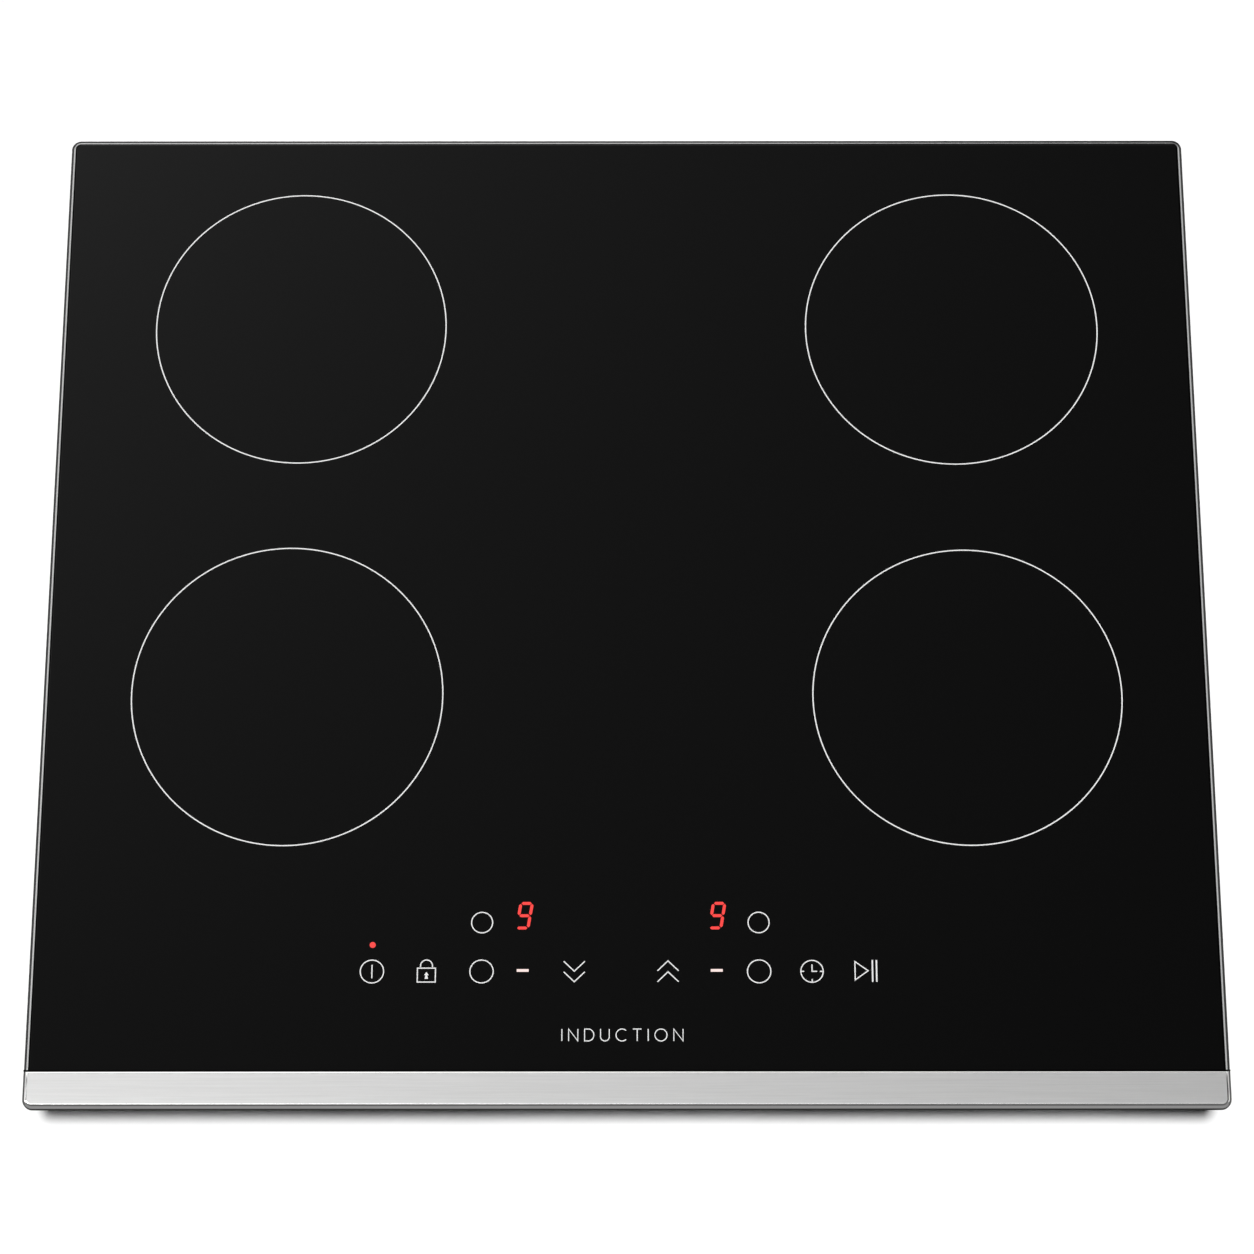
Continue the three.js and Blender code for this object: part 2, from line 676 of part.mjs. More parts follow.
function addFan(side, sign) {
  const x = sign * FAN.x;
  const half = FAN.size / 2;
  const top = FLOOR + FAN.height;
  const block = slab(-half, half, -half, half, FLOOR, top, 5);
  const bore = cylinder(FAN.bore, FLOOR - 1, top + 1, 0, 0, WIDE_ROUND);
  const motor = cylinder(FAN.hub, top - 3, top);
  const struts = [0, 1].map((i) => {
    return box(-half + 1, half - 1, -1.5, 1.5, top - 3, top).rotateZ(Math.PI / 4 + (i * Math.PI) / 2);
  });
  const shaftBore = cylinder(1.5 + GAP, top - 4, top - 1, 0, 0, 12);
  const housing = cut(joined(cut(block, bore), motor, ...struts), shaftBore);
  add("fan_housing_" + side, housing.translate(x, FAN.y, 0), blackPlastic);

  const bladeLow = FLOOR + 1;
  const bladeHigh = top - 4;
  const middle = (bladeLow + bladeHigh) / 2;
  const hub = cylinder(FAN.hub, bladeLow, bladeHigh);
  const shaft = cylinder(1.5, bladeHigh - 1, top - 1 - GAP, 0, 0, 12);
  const blades = Array.from({ length: FAN.blades }, (_, i) => {
    const blade = box(FAN.hub - 2, FAN.bladeRadius, -8.5, 8.5, -0.6, 0.6);
    blade.rotateX(THREE.MathUtils.degToRad(40)).translate(0, 0, middle);
    return blade.rotateZ((i * 2 * Math.PI) / FAN.blades);
  });
  const rotor = joined(hub, shaft, ...blades).translate(x, FAN.y, 0);
  add("fan_rotor_" + side, rotor, blackPlastic);
}

// ---------------------------------------------------------------- touch control

const LOWER_ROW = -191.7;
const UPPER_ROW = -167;
const KEYS = [
  { x: -125.6, y: LOWER_ROW }, // on and off
  { x: -98.8, y: LOWER_ROW }, // lock
  { x: -71.6, y: LOWER_ROW }, // front left zone
  { x: -71.5, y: UPPER_ROW }, // back left zone
  { x: -25.9, y: LOWER_ROW }, // less
  { x: 20.3, y: LOWER_ROW }, // more
  { x: 65.2, y: LOWER_ROW }, // front right zone
  { x: 65.2, y: UPPER_ROW }, // back right zone
  { x: 91.3, y: LOWER_ROW }, // timer
  { x: 117.3, y: LOWER_ROW }, // start and pause
];
const KEY_SPRING_RADIUS = 4.5;
const DISPLAYS = { left: -51, right: 45 };

function addControl() {
  const { halfWidth, front, back, board, wall, clearance } = CONTROL;
  const boardTop = board + BOARD.thickness;
  const plate = slab(-halfWidth, halfWidth, front, back, board, boardTop, BOARD.cornerRadius);
  const keySprings = KEYS.map(({ x, y }) => {
    return cylinder(KEY_SPRING_RADIUS, boardTop - BOARD.soldered, FLANGE_TOP, x, y, 8);
  });
  add("control_board", joined(plate, ...keySprings), circuitBoard);

  for (const [side, x] of Object.entries(DISPLAYS)) {
    const module = slab(
      x - DISPLAY.halfWidth,
      x + DISPLAY.halfWidth,
      DISPLAY.front,
      DISPLAY.back,
      boardTop + GAP,
      FLANGE_TOP,
      1,
    );
    const windows = WINDOW.places.map((y) => {
      const window = slab(
        -WINDOW.halfWidth,
        WINDOW.halfWidth,
        -WINDOW.halfDepth,
        WINDOW.halfDepth,
        FLANGE_TOP - 1,
        FLANGE_TOP + 1,
      );
      return window.translate(x, y, 0);
    });
    add("display_" + side, cut(module, ...windows), blackPlastic);
  }

  // The holder is a shallow tray on four posts.
  const bottom = board - CONTROL.tray;
  const rim = board + 3;
  const insideX = halfWidth + clearance;
  const insideFront = front - clearance;
  const insideBack = back + clearance;
  const outer = slab(
    -insideX - wall,
    insideX + wall,
    insideFront - wall,
    insideBack + wall,
    bottom,
    rim,
    3,
  );
  const pocket = box(-insideX, insideX, insideFront, insideBack, bottom + 2, rim + 1);
  const notch = box(-118, -98, back, insideBack + wall + 1, bottom + 2, rim + 1); // for the flat cable
  const posts = [];
  for (const sign of Object.values(SIDES)) {
    const x = sign * (halfWidth - 6);
    for (const y of [front + 5, back - 5]) {
      posts.push(cylinder(4, FLOOR, bottom + 1, x, y, 8));
      posts.push(cylinder(2.5, bottom + 1, board - GAP, x, y, 6));
    }
  }
  add("control_holder", joined(cut(outer, pocket, notch), ...posts), blackPlastic);
}

// The flat cable runs from the control board down to the left inverter board.
function addRibbonCable() {
  const x = -108;
  const { back, board } = CONTROL;
  const width = 10;
  const thickness = 1.2;
  const route = new THREE.CatmullRomCurve3([
    new THREE.Vector3(x, back + GAP, board + 0.8),
    new THREE.Vector3(x, back + 8, board + 0.8),
    new THREE.Vector3(x, back + 18, board - 6),
    new THREE.Vector3(x, back + 22, 28),
    new THREE.Vector3(x, back + 28, 16),
    new THREE.Vector3(x, back + 40, BOARD_TOP + 4),
  ]);
  const section = rectangle(-width / 2, width / 2, -thickness / 2, thickness / 2);
  const settings = { steps: 16, bevelEnabled: false, extrudePath: route };
  add("ribbon_cable", new THREE.ExtrudeGeometry(section, settings), ribbonGrey);
}

// ---------------------------------------------------------------- mains connection

function addTerminals() {
  const wall = PAN.depth / 2;
  const { halfWidth: halfBlock, front, back, top, towerFront, towerBack, towerTop } = BLOCK;
  const body = box(-halfBlock, halfBlock, front, back, FLOOR, top);
  const tower = box(-halfBlock, halfBlock, towerFront, towerBack, top - 1, towerTop);
  const towerMiddle = (towerFront + towerBack) / 2;
  const wells = repeated(POLES.count, POLES.pitch, (x) => {
    return cylinder(POLES.screwRadius, top + 2, towerTop + 1, x, towerMiddle, 12);
  });
  const entries = repeated(POLES.count, POLES.pitch, (x) => {
    return box(x - POLES.entryHalf, x + POLES.entryHalf, towerBack, back + 1, 6, 12);
  });
  add("terminal_block", cut(joined(body, tower), ...wells, ...entries), whitePlastic);

  // The gland is a block just inside the wall, with a bore for the mains cord.
  const { cableX, cableRadius, cableZ } = TERMINAL;
  const glandHalf = 18;
  const glandFront = wall - 12;
  const glandBack = wall - 3;
  const gland = box(
    cableX - glandHalf,
    cableX + glandHalf,
    glandFront,
    glandBack,
    FLOOR,
    cableZ + cableRadius + 5,
  );
  const bore = cylinderAlongY(cableRadius, glandFront - 1, glandBack + 1, cableX, cableZ, 20);
  add("cable_gland", cut(gland, bore), blackPlastic);

  // The cover hangs on two pins above the opening, and has a notch for the cable.
  const pinY = wall + HINGE.behindWall;
  const face = wall + GAP;
  const halfWidth = TERMINAL.halfWidth + 4;
  const barrelHalf = TERMINAL.halfWidth + 5;
  const plate = box(-halfWidth, halfWidth, face, face + 2, TERMINAL.bottom - 2, HINGE.z);
  const barrel = cylinderAlongX(HINGE.barrelRadius, -barrelHalf, barrelHalf, pinY, HINGE.z, 16);
  const pins = cylinderAlongX(HINGE.pinRadius, -barrelHalf - 2.5, barrelHalf + 2.5, pinY, HINGE.z, 10);
  const catchHook = box(10, 22, wall - 2.6, face + 1, TERMINAL.bottom + 1.5, TERMINAL.bottom + 5);
  const notch = joined(
    cylinderAlongY(cableRadius, face - 1, face + 3, cableX, cableZ, 20),
    box(cableX - cableRadius, cableX + cableRadius, face - 1, face + 3, 0, cableZ),
  );
  add("terminal_cover", joined(cut(plate, notch), barrel, pins, catchHook), blackPlastic);
}

// ---------------------------------------------------------------- worktop clamps

// Each clamp hangs beside a side wall, inside the worktop's cut-out. The claw lies along the wall.
// Turning the screw from below swings the claw out under the worktop, where the bracket's wing
// stops it, and then draws it up.
function addClamp(name, signX, signY) {
  const wall = PAN.width / 2;
  const { shank, reach, width, bottom, top, sheet, fromWall } = CLAMP;
  const { wingY, plateY, lugX } = BRACKET;
  // Built for the front right corner, seen from the screw's axis: +X is away from the wall, and
  // the claw lies towards +Y.
  const backX = -fromWall + GAP;
  const plate = box(backX, backX + sheet, wingY, plateY, bottom, top);
  const lugs = [bottom, top - sheet].map((z) => box(backX, lugX, wingY, lugX, z, z + sheet));
  const wing = box(backX, lugX, wingY, wingY + sheet, bottom, top);
  const bores = cylinder(shank + GAP, bottom - 1, top + 1, 0, 0, 12);
  const bracket = cut(joined(plate, ...lugs, wing), bores);

  const headRadius = 4.2;
  const screwTop = top + 2;
  const screwProfile = [
    [0, 0.8],
    [2, 0.8],
    [shank, 1.4],
    [shank, top + GAP],
    [headRadius, top + GAP],
    [headRadius, top + 1.2],
    [2.8, screwTop],
    [0, screwTop],
  ];
  const slot = box(-0.5, 0.5, -3, 3, 0, 2);
  const screw = cut(turned(screwProfile, 12), slot);

  const clawBottom = bottom + sheet + GAP;
  const clawTop = clawBottom + 6;
  const boss = cylinder(width / 2, clawBottom, clawTop, 0, 0, 16);
  const arm = box(-width / 2, width / 2, 0, reach, clawBottom, clawTop - 2);
  const tooth = box(-width / 2, width / 2, reach - 3, reach, clawTop - 3, clawTop + 1.5);
  const clawBore = cylinder(shank + GAP, clawBottom - 1, clawTop + 1, 0, 0, 12);
  const claw = cut(joined(boss, arm, tooth), clawBore);

  const pieces = {
    bracket: [bracket, galvanised],
    screw: [screw, zincScrew],
    claw: [claw, zincScrew],
  };
  for (const [kind, [geometry, surface]] of Object.entries(pieces)) {
    // Opposite corners are the same assembly turned round; the other two are its mirror image.
    const placed = signX * signY > 0 ? mirroredInX(geometry) : geometry;
    placed.rotateZ(signY > 0 ? Math.PI : 0);
    placed.translate(signX * (wall + fromWall), signY * CLAMP.y, 0);
    add("clamp_" + kind + "_" + name, placed, surface);
  }
}

function mirroredInX(geometry) {
  const mirrored = geometry.index ? geometry.toNonIndexed() : geometry.clone();
  const position = mirrored.getAttribute("position");
  for (let i = 0; i < position.count; i += 3) {
    const corners = [0, 2, 1].map((corner) => {
      return new THREE.Vector3().fromBufferAttribute(position, i + corner);
    });
    corners.forEach((point, corner) => position.setXYZ(i + corner, -point.x, point.y, point.z));
  }
  return mirrored;
}

// ---------------------------------------------------------------- assembly

addGlass();
addTrim();
addSeal();
addFrame();
addPan();
addPanScrews();
addTray();
for (const [side, sign] of Object.entries(SIDES)) {
  addCoilPlate(side, sign);
  addMica(side, sign);
  addInverter(side, sign);
  addFan(side, sign);
  addClamp("front_" + side, sign, -1);
  addClamp("back_" + side, sign, 1);
}
for (const [name, zone] of Object.entries(ZONES)) {
  addCoil(name, zone);
  addSensor(name, zone);
}
addFilterBoard();
addControl();
addRibbonCable();
addTerminals();

export default hob;
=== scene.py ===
"""Looks of a built-in induction hob: ground glass, printed controls, brushed trim and the works below.

Lengths named in this file are millimetres in the hob's own frame, and mm() turns them into metres.
"""

import json
import math

import bmesh
import bpy
from mathutils import Matrix, Vector


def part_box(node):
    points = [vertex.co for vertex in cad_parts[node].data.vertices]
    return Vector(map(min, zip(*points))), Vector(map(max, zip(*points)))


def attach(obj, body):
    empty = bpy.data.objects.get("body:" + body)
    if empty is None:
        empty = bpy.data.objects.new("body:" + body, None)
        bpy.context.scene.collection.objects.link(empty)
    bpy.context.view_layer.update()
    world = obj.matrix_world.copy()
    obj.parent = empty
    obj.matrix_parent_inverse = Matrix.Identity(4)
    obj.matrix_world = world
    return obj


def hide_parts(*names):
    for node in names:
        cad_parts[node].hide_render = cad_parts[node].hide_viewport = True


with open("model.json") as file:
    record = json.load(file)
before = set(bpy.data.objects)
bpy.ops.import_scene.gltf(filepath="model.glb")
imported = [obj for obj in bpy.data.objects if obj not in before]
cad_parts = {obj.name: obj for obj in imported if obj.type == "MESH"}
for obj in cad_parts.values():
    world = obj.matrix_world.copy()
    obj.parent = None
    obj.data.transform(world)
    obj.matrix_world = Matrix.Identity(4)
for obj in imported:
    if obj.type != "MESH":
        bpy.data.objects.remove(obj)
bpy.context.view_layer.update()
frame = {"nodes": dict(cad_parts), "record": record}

# ---------------------------------------------------------------- driving dimensions

# The ground edge of the glass, from the polished face outwards: inset from the rim, drop below the face.
EDGE_STEPS = ((3.15, 0.0), (3.05, 0.02), (2.08, 0.6), (1.27, 1.0), (0.0, 1.6))
GLASS_CORNER = 5
GLASS_ARRIS = 0.4

# The trim is a folded sheet: its nose, its ends and its rear edge are rounded by their own radii.
TRIM = {"corner": 5, "nose": 2.7, "end": 2.6, "rear": 0.9, "rear_gap": 0.12, "sheet": 1, "steps": 18}

JOINT_SUNK = 0.1  # how far the black joint beside the trim lies below the glass's face

# Printed marks stand on the glass. Their lines have a width for each kind of mark.
PRINT = {
    "height": 0.04,
    "sunk": 0.02,
    "zone_line": 0.6,
    "icon_line": 0.54,
    "letter_line": 0.48,
    "bar": 0.75,
}

# Printed ring of each cooking zone: centre and radius of the line's middle.
ZONE_RINGS = {
    "back_left": (-169.9, 151.9, 75.6),
    "back_right": (169.5, 151.6, 76.1),
    "front_left": (-171.5, -49.0, 78.6),
    "front_right": (172.0, -49.6, 78.0),
}

LOWER_ROW = -191.7
UPPER_ROW = -167.0
KEY_RADIUS = 5.75
SMALL_KEY_RADIUS = 5.2

# Places of the keys along the row, from left to right.
KEY_X = {
    "power": -125.6,
    "lock": -98.75,
    "front_left": -71.6,
    "less": -25.9,
    "more": 20.3,
    "front_right": 65.2,
    "timer": 91.25,
    "pause": 117.3,
}

DIGIT = {"width": 7.15, "height": 14, "lean": 2.1, "thickness": 1.5, "gap": 0.28, "top": -156.5}
DIGIT_LEFT = {"left": -53.2, "right": 42.2}
DASH = {"length": 5.9, "thickness": 1.35, "y": -191.2}
DASH_X = {"left": -51.3, "right": 44.3}
LAMP = {"x": -125.5, "y": -178.3, "radius": 1.5}

# Radiance of the studio against direction, from the far left at 0 to the far right at 1: of the
# light round the hob, and of the strip low down behind it.
SIDE_LIGHT = (
    (0.0, 1.25),
    (0.12, 1.25),
    (0.17, 0.3),
    (0.37, 0.3),
    (0.42, 2.5),
    (0.5, 2.0),
    (0.58, 1.4),
    (0.63, 0.3),
    (0.83, 0.3),
    (0.88, 1.05),
)
BACK_STRIP = ((0.0, 1.0), (0.42, 1.0), (0.5, 0.9), (0.54, 0.45), (0.58, 0.15), (0.72, 0.15), (0.85, 0.6))

# Overhead light, as the exponent of its radiance: its level where it starts, how that rises towards
# the back, how it falls to the right, and how much faster it falls further back.
OVERHEAD = {"start": 0.34, "level": -2.0, "rise": 2.5, "falloff": -3.06, "fan": -6.5, "limit": 1.1}
SOFTBOX = {"strength": 2.64, "falloff": 4.38, "limit": 8.0}

# Radiance of the rest of the room: at the back, in front, under the horizon and straight below.
DIM_ROOM = 0.14
FRONT_ROOM = 0.33
BELOW = 0.14
SHADOW = 0.02
DIFFUSE_SHARE = 0.015  # how much of the studio lights matt surfaces; lamps do the rest

# Lamps, with sizes and directions in degrees. Each low fill has a name, a heading and an energy.
KEY_LAMP = {"energy": 3.6, "size": 7.9, "tilt": 6.5}
FILL_LAMP = {"size": 40, "tilt": 86}
FILLS = (("front", 15, 1.5), ("right", 100, 1.2), ("back", 195, 1.4), ("left", 280, 1.7))

# The word's place is its middle and its baseline.
WORD = {"text": "INDUCTION", "x": -2.15, "y": -226.5, "height": 5.95, "spacing": 3.3}

# Beads pressed into the pan's side walls, and ribs moulded on the terminal cover.
BEAD = {"half_length": 105, "half_width": 3.5, "rise": 0.8, "levels": (17, 36)}
RIB = {"half_length": 10, "half_width": 1.1, "rise": 0.6, "level": 33, "count": 9, "pitch": 10}
RIM_SUNK = 0.1  # how far a bead's rim reaches into its wall and stands out of it
COVER_FACE = 237.3  # outer face of the terminal cover's plate

# How far the edges of the nodes that can be seen are rounded.
SOFT_EDGES = {"base_pan": 0.25, "terminal_cover": 0.4}
for corner in ("front_left", "front_right", "back_left", "back_right"):
    SOFT_EDGES["clamp_bracket_" + corner] = 0.3
    SOFT_EDGES["clamp_claw_" + corner] = 0.5

WINDING_PITCH = 2.4  # from turn to turn of a coil

# Place in metres, angles in degrees, lens and sensor in millimetres.
CAMERA = {
    "place": (0.00145, -0.59838, 1.82439),
    "tilt": 71.626,
    "yaw": -0.128773,
    "roll": -0.152752,
    "lens": 104.943,
    "sensor": 36,
}


def mm(value):
    return value * 0.001


# ---------------------------------------------------------------- materials


def new_material(name):
    """An empty node material with its Principled shader wired to the output."""
    made = bpy.data.materials.new(name)
    made.use_nodes = True
    return made, made.node_tree, made.node_tree.nodes["Principled BSDF"]


def add_node(tree, kind, inputs=None, **settings):
    made = tree.nodes.new(kind)
    for key, value in settings.items():
        setattr(made, key, value)
    for key, value in (inputs or {}).items():
        made.inputs[key].default_value = value
    return made


def object_coordinates(tree, stretch=(1, 1, 1), shift=(0, 0, 0)):
    place = add_node(tree, "ShaderNodeTexCoord")
    mapping = add_node(tree, "ShaderNodeMapping", {"Scale": stretch, "Location": shift})
    tree.links.new(place.outputs["Object"], mapping.inputs["Vector"])
    return mapping.outputs["Vector"]


def noise(tree, vector, scale, detail=3, roughness=0.55):
    settings = {"Scale": scale, "Detail": detail, "Roughness": roughness}
    made = add_node(tree, "ShaderNodeTexNoise", settings)
    tree.links.new(vector, made.inputs["Vector"])
    return made.outputs["Fac"]


def cells(tree, vector, scale):
    """Flat patches of random brightness, such as zinc crystals or mica flakes."""
    made = add_node(tree, "ShaderNodeTexVoronoi", {"Scale": scale})
    tree.links.new(vector, made.inputs["Vector"])
    grey = add_node(tree, "ShaderNodeSeparateColor")
    tree.links.new(made.outputs["Color"], grey.inputs["Color"])
    return grey.outputs["Red"]


def between_colours(tree, factor, dark, light, low=0.3, high=0.7):
    ramp = add_node(tree, "ShaderNodeValToRGB")
    first, last = ramp.color_ramp.elements
    first.position, first.color = low, (*dark, 1)
    last.position, last.color = high, (*light, 1)
    tree.links.new(factor, ramp.inputs["Fac"])
    return ramp.outputs["Color"]


def between_values(tree, factor, low, high):
    settings = {"From Min": 0.3, "From Max": 0.7, "To Min": low, "To Max": high}
    made = add_node(tree, "ShaderNodeMapRange", settings)
    tree.links.new(factor, made.inputs["Value"])
    return made.outputs["Result"]


def add_bump(tree, shader, height, strength, distance):
    made = add_node(tree, "ShaderNodeBump", {"Strength": strength, "Distance": distance})
    tree.links.new(height, made.inputs["Height"])
    tree.links.new(made.outputs["Normal"], shader.inputs["Normal"])


def surface(
    name,
    dark,
    light,
    roughness,
    metallic=0.0,
    grain=200,
    stretch=(1, 1, 1),
    pattern=noise,
    bump=0.2,
    depth=0.02,
    fine=None,
):
    """A finish whose colour and roughness follow one pattern, and its relief the same or a finer one."""
    made, tree, shader = new_material(name)
    vector = object_coordinates(tree, stretch)
    factor = pattern(tree, vector, grain)
    tree.links.new(between_colours(tree, factor, dark, light), shader.inputs["Base Color"])
    tree.links.new(between_values(tree, factor, *roughness), shader.inputs["Roughness"])
    shader.inputs["Metallic"].default_value = metallic
    relief = noise(tree, vector, fine) if fine else factor
    add_bump(tree, shader, relief, bump, mm(depth))
    return made


def grey(value, warm=0.0):
    return (value * (1 + warm), value, value * (1 - warm))


def brushed_trim():
    """Stainless steel: a satin top brushed along X, and polished folds where the face turns down."""
    made, tree, shader = new_material("brushed_trim_finish")
    hairs = noise(tree, object_coordinates(tree, (0.012, 1, 1)), 2600, detail=2)
    bands = noise(tree, object_coordinates(tree, (0.02, 1, 1)), 900, detail=3)
    both = add_node(tree, "ShaderNodeMath", operation="MULTIPLY_ADD")
    both.inputs[1].default_value = 0.6
    tree.links.new(hairs, both.inputs[0])
    tree.links.new(bands, both.inputs[2])
    colours = between_colours(tree, both.outputs[0], grey(0.76, 0.004), grey(0.82, 0.004), 0.55, 1.05)
    tree.links.new(colours, shader.inputs["Base Color"])

    facing = add_node(tree, "ShaderNodeSeparateXYZ")
    tree.links.new(add_node(tree, "ShaderNodeTexCoord").outputs["Normal"], facing.inputs[0])
    for socket, folded, flat in (("Metallic", 1.0, 0.9), ("Roughness", 0.08, 0.38)):
        ramp = add_node(
            tree,
            "ShaderNodeMapRange",
            {"From Min": 0.99, "From Max": 0.999, "To Min": folded, "To Max": flat},
        )
        tree.links.new(facing.outputs["Z"], ramp.inputs["Value"])
        tree.links.new(ramp.outputs["Result"], shader.inputs[socket])
    add_bump(tree, shader, hairs, 0.12, mm(0.01))
    return made


def black_glass():
    """Opaque black glass-ceramic with a faint unevenness in its polish."""
    made, tree, shader = new_material("black_glass_finish")
    cloud = noise(tree, object_coordinates(tree), 9, detail=4)
    dust = noise(tree, object_coordinates(tree), 1800, detail=1)
    tree.links.new(between_colours(tree, dust, grey(0.0003), grey(0.0009)), shader.inputs["Base Color"])
    tree.links.new(between_values(tree, cloud, 0.045, 0.075), shader.inputs["Roughness"])
    shader.inputs["IOR"].default_value = 1.52
    return made


def copper_winding(centre):
    """Lacquered copper litz wound round a centre: one ridge for each turn, with painted shade in the
    grooves between turns.
    """
    made, tree, shader = new_material("copper_winding_finish")
    offset = object_coordinates(tree, (1, 1, 0), (-centre[0], -centre[1], 0))
    radius = add_node(tree, "ShaderNodeVectorMath", operation="LENGTH")
    tree.links.new(offset, radius.inputs[0])
    turns = add_node(tree, "ShaderNodeMath", operation="SINE")
    pitch = add_node(tree, "ShaderNodeMath", operation="MULTIPLY")
    pitch.inputs[1].default_value = 2 * math.pi / mm(WINDING_PITCH)
    tree.links.new(radius.outputs["Value"], pitch.inputs[0])
    tree.links.new(pitch.outputs[0], turns.inputs[0])
    ridge = add_node(tree, "ShaderNodeMapRange", {"From Min": -1, "From Max": 1})
    tree.links.new(turns.outputs[0], ridge.inputs["Value"])
    strands = noise(tree, object_coordinates(tree), 1500)
    # The colour is darker in the grooves between turns, which is painted shade, and it varies at random
    # along the strands.
    groove_shade_and_strands = add_node(tree, "ShaderNodeMath", operation="MULTIPLY")
    tree.links.new(ridge.outputs["Result"], groove_shade_and_strands.inputs[0])
    tree.links.new(strands, groove_shade_and_strands.inputs[1])
    colours = between_colours(tree, groove_shade_and_strands.outputs[0], (0.20, 0.06, 0.025), (0.62, 0.24, 0.10), 0.05, 0.5)
    tree.links.new(colours, shader.inputs["Base Color"])
    tree.links.new(between_values(tree, strands, 0.28, 0.42), shader.inputs["Roughness"])
    shader.inputs["Metallic"].default_value = 0.85
    add_bump(tree, shader, ridge.outputs["Result"], 0.9, mm(0.5))
    return made


def light_emitting(name, colour, strength):
    """A lit segment seen through the glass, a little uneven across its diffuser."""
    made, tree, shader = new_material(name)
    uneven = noise(tree, object_coordinates(tree), 900)
    dimmer = tuple(channel * 0.9 for channel in colour)
    lit = between_colours(tree, uneven, dimmer, colour)
    tree.links.new(lit, shader.inputs["Emission Color"])
    shader.inputs["Base Color"].default_value = (*(channel * 0.05 for channel in colour), 1)
    shader.inputs["Emission Strength"].default_value = strength
    shader.inputs["Roughness"].default_value = 0.4
    return made


SURFACES = {
    "black_plastic": surface(
        "black_plastic_finish", grey(0.014), grey(0.026), (0.42, 0.55), grain=900, bump=0.3, fine=2600
    ),
    "foam_seal": surface(
        "foam_seal_finish", grey(0.018), grey(0.045), (0.8, 0.95), grain=1400, bump=0.8, depth=0.2
    ),
    "galvanised_sheet": surface(
        "galvanised_finish",
        grey(0.50, -0.01),
        grey(0.58, -0.01),
        (0.34, 0.42),
        metallic=0.35,
        grain=190,
        pattern=cells,
        bump=0.15,
        fine=500,
    ),
    "zinc_screw": surface(
        "zinc_screw_finish", grey(0.52), grey(0.68), (0.2, 0.32), metallic=1.0, grain=700
    ),
    "zinc_casting": surface(
        "zinc_casting_finish", grey(0.30), grey(0.44), (0.45, 0.6), metallic=0.85, grain=500, bump=0.5
    ),
    "aluminium_sheet": surface(
        "aluminium_sheet_finish",
        grey(0.60),
        grey(0.72),
        (0.28, 0.4),
        metallic=1.0,
        grain=700,
        stretch=(1, 0.05, 1),
    ),
    "aluminium_fins": surface(
        "aluminium_fins_finish",
        grey(0.55),
        grey(0.68),
        (0.25, 0.38),
        metallic=1.0,
        grain=900,
        stretch=(1, 0.03, 1),
    ),
    "white_plastic": surface(
        "white_plastic_finish", grey(0.62, 0.04), grey(0.72, 0.04), (0.4, 0.5), grain=600, fine=2000
    ),
    "ferrite": surface(
        "ferrite_finish", grey(0.035), grey(0.07), (0.6, 0.8), grain=1100, bump=0.5, depth=0.05
    ),
    "mica": surface(
        "mica_finish", (0.33, 0.28, 0.19), (0.56, 0.50, 0.38), (0.3, 0.5), grain=260, pattern=cells
    ),
    "sensor_ceramic": surface(
        "sensor_ceramic_finish", grey(0.66, 0.03), grey(0.78, 0.03), (0.5, 0.65), grain=900
    ),
    "circuit_board": surface(
        "circuit_board_finish",
        (0.010, 0.090, 0.034),
        (0.015, 0.130, 0.049),
        (0.25, 0.4),
        grain=1500,
        stretch=(1, 0.25, 1),
        pattern=cells,
    ),
    "display_module": surface(
        "display_module_finish", grey(0.012), grey(0.022), (0.2, 0.3), grain=700
    ),
    "ribbon": surface(
        "ribbon_finish", grey(0.30), grey(0.50), (0.4, 0.5), grain=700, stretch=(1, 0.01, 0.01)
    ),
    "brushed_trim": brushed_trim(),
    "black_glass": black_glass(),
}

ground_edge = surface(
    "ground_edge_finish", grey(0.44), grey(0.54), (0.18, 0.26), metallic=0.95, grain=900, bump=0.1
)
# Matt black that hardly reflects: on the glass's inner edge slope it is painted shade, and in the joint
# it is black sealant.
joint_black_and_painted_shade = surface(
    "joint_black_and_painted_shade_finish", grey(0.0003), grey(0.0008), (0.85, 0.95), grain=1500, bump=0.1, depth=0.01
)
joint_black_and_painted_shade.node_tree.nodes["Principled BSDF"].inputs["Specular IOR Level"].default_value = 0.05
white_print = surface(
    "white_print_finish", grey(0.60), grey(0.68), (0.5, 0.6), grain=2400, bump=0.2, depth=0.01
)
red_light = light_emitting("red_light_finish", (1.0, 0.062, 0.055), 1.0)
pale_light = light_emitting("pale_light_finish", (1.0, 0.80, 0.76), 1.0)


# ---------------------------------------------------------------- mesh building


def mesh_piece(name, work, *materials, sharp_above=30):
    """An object made from a bmesh, on the fixed body, with smooth shading up to the given angle."""
    bmesh.ops.recalc_face_normals(work, faces=work.faces)
    mesh = bpy.data.meshes.new(name)
    work.to_mesh(mesh)
    work.free()
    for each in materials:
        mesh.materials.append(each)
    mesh.polygons.foreach_set("use_smooth", [True] * len(mesh.polygons))
    mesh.set_sharp_from_angle(angle=math.radians(sharp_above))
    made = bpy.data.objects.new(name, mesh)
    bpy.context.scene.collection.objects.link(made)
    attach(made, "root")
    return made


def add_prism(work, outline, low, high):
    """A flat plate with the given outline, in millimetres, between two levels in metres."""
    below = [work.verts.new((mm(x), mm(y), low)) for x, y in outline]
    above = [work.verts.new((mm(x), mm(y), high)) for x, y in outline]
    work.faces.new(below[::-1])
    work.faces.new(above)
    for i in range(len(outline)):
        after = (i + 1) % len(outline)
        work.faces.new((below[i], below[after], above[after], above[i]))


